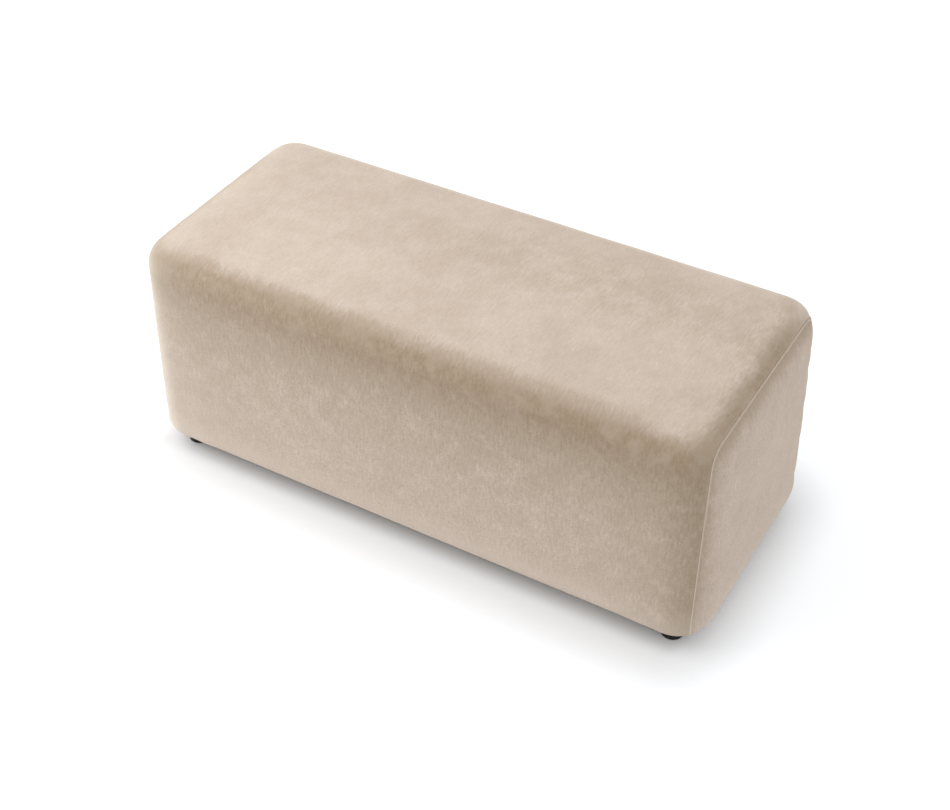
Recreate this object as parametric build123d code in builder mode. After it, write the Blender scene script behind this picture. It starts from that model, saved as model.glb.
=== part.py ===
import math
import os

from build123d import *

# An upholstered bench: a timber box frame with webbing and foam, covered in pile fabric.
# X runs along the bench, -Y is its front, +Z is up and the floor is z = 0. Millimetres.

# Outer form, measured over the fabric between its corners
body_length = 1086.0
body_depth = 459.0
body_height = 418.0
corner_radius = 63.0
top_radius = 46.0
bottom_radius = 28.0
length_lean = 5.4
depth_lean = 1.1
end_bow = 7.0
side_bow = 4.0
top_crown = 4.5
crown_corner_radius = 12.0

# Cover and its seams
cover_thickness = 1.6
seam_inset = 15.0
thread_width = 0.8
hem_width = 40.0

# Padding
wadding_thickness = 6.0
side_foam = 25.0
top_foam = 65.0
felt_thickness = 2.5
felt_margin = 6.0

# Webbing
strap_thickness = 2.0
strap_width = 60.0
strap_pitch = 130.0
long_strap_pitch = 150.0
strap_seat = 18.0
strap_slack = 5.0

# Timber and cladding
panel_thickness = 3.0
panel_lift = 1.0
rail_thickness = 22.0
upper_rail_height = 60.0
lower_rail_width = 45.0
post_size = 45.0
cross_rail_height = 45.0
cross_rail_drop = 15.0

# Dowels and screws
dowel_diameter = 8.0
dowel_length = 35.0
dowel_clearance = 0.05
dowel_spacing = 24.0
screw_diameter = 4.0
screw_head_diameter = 8.0
screw_point = 4.0
post_screw_length = 60.0
post_screw_spacing = 29.0
post_screw_setback = 18.0
slot_width = 1.2
slot_depth = 1.5

# Glides under the corners
foot_height = 24.0
foot_diameter = 43.0
foot_inset_x = 55.0
foot_inset_y = 47.5
foot_taper = 1.5
foot_rim = 2.0
foot_edge_radius = 2.0
foot_recess_diameter = 13.0
foot_recess_depth = 18.0
foot_screw_length = 35.0
foot_screw_head_height = 3.0
foot_screw_clearance = 0.25

# Staples, cut from flat wire
staple_crown = 12.0
staple_leg = 10.0
staple_wire_height = 0.6
staple_wire_width = 1.2
strap_staples = 3
strap_staple_spacing = 18.0
hem_staple_pitch = 70.0
hem_staple_line = 29.0
dust_staple_pitch = 90.0
dust_staple_line = 15.0
panel_staple_pitch = 120.0
panel_staple_line = 11.0

# Dust cover under the bench
dust_thickness = 0.6
dust_margin = 8.0
dust_fold = 15.0

# How finely the padded edges are stepped, and where the sides and the crown are measured
bottom_steps = 4
top_steps = 6
side_shares = (0.2, 0.5, 0.8)
crown_shares = (0.25, 0.55, 0.85)
least_bow_share = 0.1
corner_limit_share = 0.7
overrun = 20.0

screw_head_depth = (screw_head_diameter - screw_diameter) / 2
slot_length = screw_head_diameter - screw_head_depth

# Levels, from the floor up
cover_bottom = foot_height + 2 * dust_thickness
body_top = cover_bottom + body_height
frame_bottom = cover_bottom + cover_thickness
post_bottom = frame_bottom + rail_thickness
padding = cover_thickness + wadding_thickness
foam_seat = body_top - padding - top_foam
felt_bottom = foam_seat - felt_thickness
rail_top = felt_bottom - 2 * strap_thickness
upper_rail_bottom = rail_top - upper_rail_height
lower_rail_middle = frame_bottom + rail_thickness / 2

# Plan of the frame
clad_x = body_length / 2 - padding - side_foam
clad_y = body_depth / 2 - padding - side_foam
frame_x = clad_x - panel_thickness
frame_y = clad_y - panel_thickness
post_x = frame_x - post_size / 2
post_y = frame_y - post_size / 2
inner_x = frame_x - post_size
inner_y = frame_y - post_size
upper_rail_x = frame_x - rail_thickness / 2
upper_rail_y = frame_y - rail_thickness / 2
lower_rail_x = frame_x - lower_rail_width / 2
lower_rail_y = frame_y - lower_rail_width / 2
seam_x = body_length / 2 - seam_inset
hem_x = frame_x - hem_width
hem_y = frame_y - hem_width
foot_x = body_length / 2 - foot_inset_x
foot_y = body_depth / 2 - foot_inset_y

parts_made = []


# Writes one finished piece as its own file, named after its label
def keep(piece, name):
    piece.part.label = name
    export_step(piece.part, f"parts/{name}.step")
    parts_made.append(name)


# A closed outline with bowed sides and round corners, at one level
def padded_outline(level, half_length, half_depth, bow_x, bow_y, radius):
    with BuildSketch(Plane.XY.offset(level)) as outline:
        with BuildLine():
            for side in (-1, 1):
                ThreePointArc(
                    (-side * half_length, side * half_depth),
                    (0, side * (half_depth + bow_y)),
                    (side * half_length, side * half_depth),
                )
                ThreePointArc(
                    (side * half_length, side * half_depth),
                    (side * (half_length + bow_x), 0),
                    (side * half_length, -side * half_depth),
                )
        make_face()
        fillet(outline.vertices(), radius)
    return outline.sketch


# The whole padded form, drawn in by a depth all round. Each outline is given by how far
# it lies in from the side and by its level: round the bottom edge, up the sides, round
# the top edge and over the crown.
def padded_form(depth):
    low = cover_bottom + depth
    high = body_top - depth
    low_radius = bottom_radius - depth
    high_radius = top_radius - depth
    outlines = []
    for step in range(bottom_steps + 1):
        angle = math.radians(90 * step / bottom_steps)
        rise = low_radius * (1 - math.cos(angle))
        outlines.append((low_radius * (1 - math.sin(angle)), low + rise))
    for share in side_shares:
        side_low = low + low_radius
        outlines.append((0, side_low + share * (high - high_radius - side_low)))
    for step in range(top_steps + 1):
        angle = math.radians(90 * step / top_steps)
        drop = high_radius * (1 - math.sin(angle))
        outlines.append((high_radius * (1 - math.cos(angle)), high - drop))
    for share in crown_shares:
        across = body_depth / 2 - top_radius
        outlines.append((high_radius + share * across, high + top_crown * (1 - (1 - share) ** 2)))
    sketches = []
    for edge, level in outlines:
        height_share = min((level - cover_bottom) / body_height, 1)
        lean = 1 - 2 * height_share
        bow = max(4 * height_share * (1 - height_share), least_bow_share)
        half_length = body_length / 2 - depth - edge + length_lean * lean
        half_depth = body_depth / 2 - depth - edge + depth_lean * lean
        radius = max(corner_radius - depth - edge, crown_corner_radius)
        radius = min(radius, corner_limit_share * half_depth)
        sketch = padded_outline(level, half_length, half_depth, end_bow * bow, side_bow * bow, radius)
        sketches.append(sketch)
    return loft(sketches, ruled=True)


# A plain block between two corners, used to cut and to divide
def block(low, high):
    with BuildPart() as solid:
        with BuildSketch(Plane.XY.offset(low[2])):
            with Locations(((low[0] + high[0]) / 2, (low[1] + high[1]) / 2)):
                Rectangle(high[0] - low[0], high[1] - low[1])
        extrude(amount=high[2] - low[2])
    return solid.part


# A copy of a form at each of a list of planes
def placed(form, planes):
    return [form.moved(plane.location) for plane in planes]


# True where two bounding boxes meet
def boxes_meet(one, other):
    lows = zip(one.min, other.max)
    highs = zip(one.max, other.min)
    return all(low <= high for low, high in lows) and all(high >= low for high, low in highs)


# Takes out of the piece being built each solid of the groups that reaches into it
def bore(piece, *groups):
    space = piece.part.bounding_box()
    cutters = [solid for group in groups for solid in group if boxes_meet(solid.bounding_box(), space)]
    if cutters:
        add(cutters, mode=Mode.SUBTRACT)


# Evenly spaced values from -reach to +reach, about one pitch apart
def spread(reach, pitch):
    count = max(2, round(2 * reach / pitch) + 1)
    return [reach * (2 * index / (count - 1) - 1) for index in range(count)]


os.makedirs("parts", exist_ok=True)

outer_form = padded_form(0)
lining_form = padded_form(cover_thickness)
foam_form = padded_form(padding)

far_x = body_length
far_y = body_depth
far_z = body_top + overrun

# Staple: a crown with two legs, its crown's underside on z = 0 and its legs down -Z
with BuildPart() as staple:
    with BuildSketch(Plane.XZ.offset(-staple_wire_width / 2)):
        with Locations((0, (staple_wire_height - staple_leg) / 2)):
            Rectangle(staple_crown, staple_leg + staple_wire_height)
        with Locations((0, -(staple_leg + overrun) / 2)):
            Rectangle(staple_crown - 2 * staple_wire_width, staple_leg + overrun, mode=Mode.SUBTRACT)
    extrude(amount=staple_wire_width)
staple_form = staple.part

# Wood screw with a flat head: its head's face on z = 0 and its point down -Z
with BuildPart() as wood_screw:
    with BuildSketch(Plane.XZ):
        with BuildLine():
            Polyline(
                (0, 0),
                (screw_head_diameter / 2, 0),
                (screw_diameter / 2, -screw_head_depth),
                (screw_diameter / 2, screw_point - post_screw_length),
                (0, -post_screw_length),
                close=True,
            )
        make_face()
    revolve(axis=Axis.Z)
post_screw_bore = wood_screw.part
with BuildPart() as slotted_screw:
    add(post_screw_bore)
    with BuildSketch(Plane.XY):
        Rectangle(slot_length, slot_width)
        Rectangle(slot_width, slot_length)
    extrude(amount=-slot_depth, mode=Mode.SUBTRACT)
post_screw_form = slotted_screw.part

# Screw of a glide: a pan head below z = 0 and its shank up +Z
with BuildPart() as glide_screw:
    with BuildSketch(Plane.XZ):
        with BuildLine():
            Polyline(
                (0, -foot_screw_head_height),
                (screw_head_diameter / 2, -foot_screw_head_height),
                (screw_head_diameter / 2, 0),
                (screw_diameter / 2, 0),
                (screw_diameter / 2, foot_screw_length - screw_point),
                (0, foot_screw_length),
                close=True,
            )
        make_face()
    revolve(axis=Axis.Z)
    with BuildSketch(Plane.XY.offset(-foot_screw_head_height)):
        Rectangle(slot_length, slot_width)
        Rectangle(slot_width, slot_length)
    extrude(amount=slot_depth, mode=Mode.SUBTRACT)
foot_screw_form = glide_screw.part

# Dowels, given by their middle and their axis
dowel_planes = []
for side_x in (-1, 1):
    for side_y in (-1, 1):
        for level in (-1, 1):
            upper_level = rail_top - upper_rail_height / 2 + level * dowel_spacing / 2
            long_joint = (side_x * inner_x, side_y * upper_rail_y, upper_level)
            end_joint = (side_x * upper_rail_x, side_y * inner_y, upper_level)
            lower_column = side_x * (lower_rail_x + level * dowel_spacing / 2)
            lower_joint = (lower_column, side_y * inner_y, lower_rail_middle)
            dowel_planes.append(Plane(origin=long_joint, z_dir=(1, 0, 0)))
            dowel_planes.append(Plane(origin=end_joint, z_dir=(0, 1, 0)))
            dowel_planes.append(Plane(origin=lower_joint, z_dir=(0, 1, 0)))
for side_y in (-1, 1):
    for level in (-1, 1):
        shift = level * dowel_spacing / 2
        cross_middle = rail_top - cross_rail_drop - cross_rail_height / 2
        cross_joint = (0, side_y * (frame_y - rail_thickness), cross_middle + shift)
        mid_joint = (shift, side_y * upper_rail_y, upper_rail_bottom)
        floor_joint = (shift, side_y * inner_y, lower_rail_middle)
        dowel_planes.append(Plane(origin=cross_joint, z_dir=(0, 1, 0)))
        dowel_planes.append(Plane(origin=mid_joint, z_dir=(0, 0, 1)))
        dowel_planes.append(Plane(origin=floor_joint, z_dir=(0, 1, 0)))

with BuildPart() as dowel:
    Cylinder(dowel_diameter / 2, dowel_length)
with BuildPart() as dowel_bore:
    Cylinder(dowel_diameter / 2 + dowel_clearance, dowel_length + 2 * dowel_clearance)
dowel_holes = placed(dowel_bore.part, dowel_planes)

# Screws up through the lower rails into the posts, two for each post
post_screw_places = []
for side_y in (-1, 1):
    for turn in (-1, 1):
        post_screw_places.append((turn * dowel_spacing / 2, side_y * upper_rail_y))
        for side_x in (-1, 1):
            column = side_x * post_x + turn * post_screw_spacing / 2
            post_screw_places.append((column, side_y * (frame_y - post_screw_setback)))
post_screw_planes = [Plane(origin=(x, y, frame_bottom), z_dir=(0, 0, -1)) for x, y in post_screw_places]
post_screw_group = placed(post_screw_form, post_screw_planes)
post_screw_holes = placed(post_screw_bore, post_screw_planes)

# The four glides and their screws
feet = []
for end_name, side_x in (("left", -1), ("right", 1)):
    for face_name, side_y in (("front", -1), ("back", 1)):
        feet.append((f"foot_{face_name}_{end_name}", side_x * foot_x, side_y * foot_y))
foot_screw_planes = [Plane(origin=(x, y, foot_recess_depth)) for _, x, y in feet]
foot_screw_group = placed(foot_screw_form, foot_screw_planes)
with BuildPart() as foot_shank:
    with BuildSketch(Plane.XZ):
        with BuildLine():
            Polyline(
                (0, 0),
                (screw_diameter / 2, 0),
                (screw_diameter / 2, foot_screw_length - screw_point),
                (0, foot_screw_length),
                close=True,
            )
        make_face()
    revolve(axis=Axis.Z)
foot_shanks = placed(foot_shank.part, foot_screw_planes)
with BuildPart() as foot_screw_bore:
    with BuildSketch(Plane.XY.offset(foot_height)):
        with Locations(*[(x, y) for _, x, y in feet]):
            Circle(screw_diameter / 2 + foot_screw_clearance)
    extrude(amount=2 * dust_thickness + cover_thickness)
foot_screw_holes = foot_screw_bore.part.solids()

# Woven straps: the cross straps lie flat, the long ones pass over and under them
cross_count = 2 * int((inner_x - strap_width / 2) // strap_pitch) + 1
cross_places = [strap_pitch * (index - (cross_count - 1) / 2) for index in range(cross_count)]
long_places = (-long_strap_pitch / 2, long_strap_pitch / 2)
cross_reach = frame_y - rail_thickness + strap_seat
long_reach = frame_x - rail_thickness + strap_seat

# Staples that hold the straps to the upper rails
strap_staple_planes = []
strap_top = rail_top + strap_thickness
for side in (-1, 1):
    for index in range(strap_staples):
        shift = (index - (strap_staples - 1) / 2) * strap_staple_spacing
        for x in cross_places:
            place = (x + shift, side * upper_rail_y, strap_top)
            strap_staple_planes.append(Plane(origin=place))
        for y in long_places:
            place = (side * upper_rail_x, y + shift, strap_top)
            strap_staple_planes.append(Plane(origin=place, x_dir=(0, 1, 0)))
strap_staple_group = placed(staple_form, strap_staple_planes)

# Staples that hold the cladding to the posts and rails
panel_staple_planes = []
for level in (frame_bottom + panel_staple_line, rail_top - panel_staple_line):
    for side in (-1, 1):
        for x in spread(inner_x - dowel_length / 2 - staple_crown, panel_staple_pitch):
            place = (x, side * clad_y, level)
            panel_staple_planes.append(Plane(origin=place, x_dir=(1, 0, 0), z_dir=(0, side, 0)))
        for y in spread(inner_y - dowel_length / 2 - staple_crown, panel_staple_pitch):
            place = (side * clad_x, y, level)
            panel_staple_planes.append(Plane(origin=place, x_dir=(0, 1, 0), z_dir=(side, 0, 0)))
panel_staple_group = placed(staple_form, panel_staple_planes)


# Places for staples round the underside, on a line in from the frame's outer face
def underside_planes(line, pitch, level):
    planes = []
    for side in (-1, 1):
        for x in spread(inner_x - staple_crown, pitch):
            place = (x, side * (frame_y - line), level)
            planes.append(Plane(origin=place, x_dir=(1, 0, 0), z_dir=(0, 0, -1)))
        for y in spread(inner_y - staple_crown, pitch):
            place = (side * (frame_x - line), y, level)
            planes.append(Plane(origin=place, x_dir=(0, 1, 0), z_dir=(0, 0, -1)))
    return planes


hem_staple_planes = underside_planes(hem_staple_line, hem_staple_pitch, cover_bottom)
hem_staple_group = placed(staple_form, hem_staple_planes)
dust_staple_planes = underside_planes(dust_staple_line, dust_staple_pitch, foot_height)
dust_staple_group = placed(staple_form, dust_staple_planes)

# Cover: the wrap runs up the front, over the top and down the back, with its seam
# allowances turned in at both ends. Under the ends the hem belongs to the end panels.
wrap_outside = outer_form & block((-seam_x, -far_y, -overrun), (seam_x, far_y, far_z))
lining_x = seam_x - cover_thickness
wrap_inside = lining_form & block((-lining_x, -far_y, -overrun), (lining_x, far_y, far_z))
hem_level = frame_bottom + bottom_radius
hem_opening = block((-far_x, -hem_y, -overrun), (far_x, hem_y, hem_level))
with BuildPart() as cover_wrap:
    add(wrap_outside)
    add(wrap_inside, mode=Mode.SUBTRACT)
    add(foam_form, mode=Mode.SUBTRACT)
    add(hem_opening, mode=Mode.SUBTRACT)
    bore(cover_wrap, hem_staple_group, dust_staple_group, foot_screw_holes)
keep(cover_wrap, "cover_wrap")

# Each end panel, with its own allowance and the hem under its end
panel_edge = seam_x + thread_width
end_lining = panel_edge + cover_thickness
with BuildPart() as end_hem:
    add(outer_form & block((hem_x, -hem_y, -overrun), (panel_edge, hem_y, hem_level)))
    add(lining_form, mode=Mode.SUBTRACT)
with BuildPart() as cover_end_right:
    add(outer_form & block((panel_edge, -far_y, -overrun), (far_x, far_y, far_z)))
    add(lining_form & block((end_lining, -far_y, -overrun), (far_x, far_y, far_z)), mode=Mode.SUBTRACT)
    add(foam_form, mode=Mode.SUBTRACT)
    add(end_hem.part)
    bore(cover_end_right, hem_staple_group, dust_staple_group)
keep(cover_end_right, "cover_end_right")
with BuildPart() as cover_end_left:
    mirror(cover_end_right.part, about=Plane.YZ)
keep(cover_end_left, "cover_end_left")

# The stitched seam between each end panel and the wrap, open under the bench
with BuildPart() as seam_thread_right:
    add(outer_form & block((seam_x, -far_y, -overrun), (panel_edge, far_y, far_z)))
    add(lining_form, mode=Mode.SUBTRACT)
    add(hem_opening, mode=Mode.SUBTRACT)
keep(seam_thread_right, "seam_thread_right")
with BuildPart() as seam_thread_left:
    mirror(seam_thread_right.part, about=Plane.YZ)
keep(seam_thread_left, "seam_thread_left")

# Wadding in three pieces, parted by the seam allowances and open under the frame
frame_space = block((-clad_x, -clad_y, -overrun), (clad_x, clad_y, foam_seat))
with BuildPart() as wadding_wrap:
    add(wrap_inside)
    add(foam_form, mode=Mode.SUBTRACT)
    add(frame_space, mode=Mode.SUBTRACT)
keep(wadding_wrap, "wadding_wrap")
with BuildPart() as wadding_end_right:
    add(lining_form & block((end_lining, -far_y, -overrun), (far_x, far_y, far_z)))
    add(foam_form, mode=Mode.SUBTRACT)
keep(wadding_end_right, "wadding_end_right")
with BuildPart() as wadding_end_left:
    mirror(wadding_end_right.part, about=Plane.YZ)
keep(wadding_end_left, "wadding_end_left")

# Foam: a slab over the whole top and a slab glued to each clad side
with BuildPart() as foam_top:
    add(foam_form & block((-far_x, -far_y, foam_seat), (far_x, far_y, far_z)))
keep(foam_top, "foam_top")
with BuildPart() as foam_front:
    add(foam_form & block((-clad_x, -far_y, 0), (clad_x, -clad_y, foam_seat)))
    bore(foam_front, panel_staple_group)
keep(foam_front, "foam_front")
with BuildPart() as foam_back:
    mirror(foam_front.part, about=Plane.XZ)
keep(foam_back, "foam_back")
with BuildPart() as foam_end_right:
    add(foam_form & block((clad_x, -far_y, 0), (far_x, far_y, foam_seat)))
    bore(foam_end_right, panel_staple_group)
keep(foam_end_right, "foam_end_right")
with BuildPart() as foam_end_left:
    mirror(foam_end_right.part, about=Plane.YZ)
keep(foam_end_left, "foam_end_left")

# Felt between the foam and the straps
with BuildPart() as underlay_felt:
    with BuildSketch(Plane.XY.offset(felt_bottom)):
        Rectangle(2 * (frame_x - felt_margin), 2 * (frame_y - felt_margin))
    extrude(amount=felt_thickness)
keep(underlay_felt, "underlay_felt")

# Cross straps, flat from the front rail to the back rail
for number, x in enumerate(cross_places, start=1):
    with BuildPart() as cross_strap:
        with BuildSketch(Plane.XY.offset(rail_top)):
            with Locations((x, 0)):
                Rectangle(strap_width, 2 * cross_reach)
        extrude(amount=strap_thickness)
        bore(cross_strap, strap_staple_group)
    keep(cross_strap, f"webbing_cross_{number}")

# Long straps, woven over and under the cross straps
for number, y in enumerate(long_places, start=1):
    rail_edge = frame_x - rail_thickness - strap_slack
    path = [(-long_reach, rail_top), (-rail_edge, rail_top)]
    for index, x in enumerate(cross_places):
        over = (index + number) % 2 == 0
        level = rail_top + strap_thickness if over else rail_top - strap_thickness
        path.append((x - strap_width / 2 - strap_slack, level))
        path.append((x + strap_width / 2 + strap_slack, level))
    path.append((rail_edge, rail_top))
    path.append((long_reach, rail_top))
    upper_side = [(x, z + strap_thickness) for x, z in reversed(path)]
    with BuildPart() as long_strap:
        with BuildSketch(Plane.XZ.offset(-y - strap_width / 2)):
            with BuildLine():
                Polyline(*path, *upper_side, close=True)
            make_face()
        extrude(amount=strap_width)
        bore(long_strap, strap_staple_group)
    keep(long_strap, f"webbing_long_{number}")

# Timber frame. Every rail and post loses the bores of the dowels, screws and staples
# that enter it.
for name, side in (("front", -1), ("back", 1)):
    with BuildPart() as upper_rail:
        with BuildSketch(Plane.XY.offset(upper_rail_bottom)):
            with Locations((0, side * upper_rail_y)):
                Rectangle(2 * inner_x, rail_thickness)
        extrude(amount=upper_rail_height)
        bore(upper_rail, dowel_holes, strap_staple_group, panel_staple_group)
    keep(upper_rail, f"upper_rail_{name}")
    with BuildPart() as lower_rail:
        with BuildSketch(Plane.XY.offset(frame_bottom)):
            with Locations((0, side * lower_rail_y)):
                Rectangle(2 * frame_x, lower_rail_width)
        extrude(amount=rail_thickness)
        bore(lower_rail, dowel_holes, post_screw_holes, foot_shanks)
        bore(lower_rail, panel_staple_group, hem_staple_group, dust_staple_group)
    keep(lower_rail, f"lower_rail_{name}")
    with BuildPart() as mid_post:
        with BuildSketch(Plane.XY.offset(post_bottom)):
            with Locations((0, side * upper_rail_y)):
                Rectangle(post_size, rail_thickness)
        extrude(amount=upper_rail_bottom - post_bottom)
        bore(mid_post, dowel_holes, post_screw_holes)
    keep(mid_post, f"mid_post_{name}")
for name, side in (("left", -1), ("right", 1)):
    with BuildPart() as upper_rail:
        with BuildSketch(Plane.XY.offset(upper_rail_bottom)):
            with Locations((side * upper_rail_x, 0)):
                Rectangle(rail_thickness, 2 * inner_y)
        extrude(amount=upper_rail_height)
        bore(upper_rail, dowel_holes, strap_staple_group, panel_staple_group)
    keep(upper_rail, f"upper_rail_{name}")
    with BuildPart() as lower_rail:
        with BuildSketch(Plane.XY.offset(frame_bottom)):
            with Locations((side * lower_rail_x, 0)):
                Rectangle(lower_rail_width, 2 * inner_y)
        extrude(amount=rail_thickness)
        bore(lower_rail, dowel_holes, panel_staple_group, hem_staple_group, dust_staple_group)
    keep(lower_rail, f"lower_rail_{name}")
    for face_name, face in (("front", -1), ("back", 1)):
        with BuildPart() as corner_post:
            with BuildSketch(Plane.XY.offset(post_bottom)):
                with Locations((side * post_x, face * post_y)):
                    Rectangle(post_size, post_size)
            extrude(amount=rail_top - post_bottom)
            bore(corner_post, dowel_holes, post_screw_holes, foot_shanks, panel_staple_group)
        keep(corner_post, f"corner_post_{face_name}_{name}")

# Cross rails in the middle, the upper one clear below the straps
with BuildPart() as upper_cross_rail:
    with BuildSketch(Plane.XY.offset(rail_top - cross_rail_drop - cross_rail_height)):
        Rectangle(rail_thickness, 2 * (frame_y - rail_thickness))
    extrude(amount=cross_rail_height)
    bore(upper_cross_rail, dowel_holes)
keep(upper_cross_rail, "upper_cross_rail")
with BuildPart() as lower_cross_rail:
    with BuildSketch(Plane.XY.offset(frame_bottom)):
        Rectangle(lower_rail_width, 2 * inner_y)
    extrude(amount=rail_thickness)
    bore(lower_cross_rail, dowel_holes)
keep(lower_cross_rail, "lower_cross_rail")

# Thin cladding, stapled on: the end panels cover the edges of the long ones
clad_bottom = frame_bottom + panel_lift
clad_height = rail_top - clad_bottom
for name, side in (("front", -1), ("back", 1)):
    with BuildPart() as clad_panel:
        with BuildSketch(Plane.XY.offset(clad_bottom)):
            with Locations((0, side * (frame_y + panel_thickness / 2))):
                Rectangle(2 * frame_x, panel_thickness)
        extrude(amount=clad_height)
        bore(clad_panel, panel_staple_group)
    keep(clad_panel, f"panel_{name}")
for name, side in (("left", -1), ("right", 1)):
    with BuildPart() as clad_panel:
        with BuildSketch(Plane.XY.offset(clad_bottom)):
            with Locations((side * (frame_x + panel_thickness / 2), 0)):
                Rectangle(panel_thickness, 2 * clad_y)
        extrude(amount=clad_height)
        bore(clad_panel, panel_staple_group)
    keep(clad_panel, f"panel_{name}")

# Joints of the frame, one node for each kind
with BuildPart() as frame_dowels:
    add(placed(dowel.part, dowel_planes))
keep(frame_dowels, "frame_dowels")
with BuildPart() as post_screws:
    add(post_screw_group)
keep(post_screws, "post_screws")

# Glides: a moulded disc with a tapered side and a recess for its screw
for name, x, y in feet:
    with BuildPart() as foot:
        with BuildSketch(Plane(origin=(x, y, 0), x_dir=(1, 0, 0), z_dir=(0, -1, 0))):
            with BuildLine():
                lower_radius = foot_diameter / 2 - foot_taper
                Polyline(
                    (lower_radius, foot_edge_radius),
                    (foot_diameter / 2, foot_height - foot_rim),
                    (foot_diameter / 2, foot_height),
                    (screw_diameter / 2 + foot_screw_clearance, foot_height),
                    (screw_diameter / 2 + foot_screw_clearance, foot_recess_depth),
                    (foot_recess_diameter / 2, foot_recess_depth),
                    (foot_recess_diameter / 2, 0),
                    (lower_radius - foot_edge_radius, 0),
                )
                RadiusArc(
                    (lower_radius - foot_edge_radius, 0),
                    (lower_radius, foot_edge_radius),
                    -foot_edge_radius,
                )
            make_face()
        revolve(axis=Axis((x, y, 0), (0, 0, 1)))
    keep(foot, name)
with BuildPart() as foot_screws:
    add(foot_screw_group)
keep(foot_screws, "foot_screws")

# Dust cover: a sheet under the bench with its edge folded in all round
dust_x = frame_x - dust_margin
dust_y = frame_y - dust_margin
with BuildPart() as dust_cover:
    with BuildSketch(Plane.XY.offset(foot_height)):
        Rectangle(2 * dust_x, 2 * dust_y)
    extrude(amount=dust_thickness)
    with BuildSketch(Plane.XY.offset(cover_bottom - dust_thickness)):
        Rectangle(2 * dust_x, 2 * dust_y)
        Rectangle(2 * (dust_x - dust_fold), 2 * (dust_y - dust_fold), mode=Mode.SUBTRACT)
    extrude(amount=dust_thickness)
    bore(dust_cover, dust_staple_group, foot_screw_holes)
keep(dust_cover, "dust_cover")

# Staples, one node for each row
with BuildPart() as webbing_staples:
    add(strap_staple_group)
keep(webbing_staples, "webbing_staples")
with BuildPart() as panel_staples:
    add(panel_staple_group)
keep(panel_staples, "panel_staples")
with BuildPart() as cover_staples:
    add(hem_staple_group)
keep(cover_staples, "cover_staples")
with BuildPart() as dust_cover_staples:
    add(dust_staple_group)
keep(dust_cover_staples, "dust_cover_staples")

print(len(parts_made), "pieces written")
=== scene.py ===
import math

import bmesh
import bpy
from mathutils import Matrix, Vector, noise


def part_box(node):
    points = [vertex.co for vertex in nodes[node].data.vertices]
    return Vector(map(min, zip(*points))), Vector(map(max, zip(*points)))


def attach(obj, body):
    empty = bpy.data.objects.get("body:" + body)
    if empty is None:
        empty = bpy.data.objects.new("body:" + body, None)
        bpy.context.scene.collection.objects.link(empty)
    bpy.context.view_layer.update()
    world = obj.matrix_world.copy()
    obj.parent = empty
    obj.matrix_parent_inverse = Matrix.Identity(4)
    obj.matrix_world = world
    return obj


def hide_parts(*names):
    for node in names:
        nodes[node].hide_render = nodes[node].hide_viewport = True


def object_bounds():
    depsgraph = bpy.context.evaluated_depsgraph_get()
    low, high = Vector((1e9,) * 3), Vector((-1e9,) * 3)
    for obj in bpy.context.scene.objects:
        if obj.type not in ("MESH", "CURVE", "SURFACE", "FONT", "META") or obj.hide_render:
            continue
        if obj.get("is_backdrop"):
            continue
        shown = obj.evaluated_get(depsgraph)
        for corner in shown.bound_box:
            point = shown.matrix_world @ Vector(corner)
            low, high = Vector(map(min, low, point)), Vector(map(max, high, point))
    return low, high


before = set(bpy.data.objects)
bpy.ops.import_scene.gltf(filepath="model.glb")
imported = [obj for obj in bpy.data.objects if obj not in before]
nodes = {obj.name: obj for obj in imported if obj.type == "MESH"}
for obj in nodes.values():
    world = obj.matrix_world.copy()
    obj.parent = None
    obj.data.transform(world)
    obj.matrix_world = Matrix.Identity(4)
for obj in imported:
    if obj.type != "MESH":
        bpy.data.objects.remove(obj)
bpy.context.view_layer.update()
print("frame loaded,", len(nodes), "nodes")

scene = bpy.context.scene
scene.view_settings.view_transform = "Standard"


# Small helpers

def smoothStep(low, high, value):
    share = min(max((value - low) / (high - low), 0.0), 1.0)
    return share * share * (3.0 - 2.0 * share)


def pickedColor(red, green, blue):
    # Takes the 0 to 255 steps of a colour picker
    def linear(step):
        share = step / 255.0
        return share / 12.92 if share <= 0.04045 else ((share + 0.055) / 1.055) ** 2.4
    return (linear(red), linear(green), linear(blue), 1.0)


def finishMesh(bm, name, material, smooth=True):
    mesh = bpy.data.meshes.new(name)
    bm.to_mesh(mesh)
    bm.free()
    for face in mesh.polygons:
        face.use_smooth = smooth
    mesh.materials.append(material)
    piece = bpy.data.objects.new(name, mesh)
    scene.collection.objects.link(piece)
    return piece


def addThickness(piece, thickness):
    wall = piece.modifiers.new("thickness", "SOLIDIFY")
    wall.thickness = thickness
    wall.offset = -1.0
    return piece


def evaluatedMesh(piece):
    return bpy.data.meshes.new_from_object(piece.evaluated_get(bpy.context.evaluated_depsgraph_get()))


def placeOn(piece, slotName, *replaced):
    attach(piece, "root")
    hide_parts(*replaced)
    return piece


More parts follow.
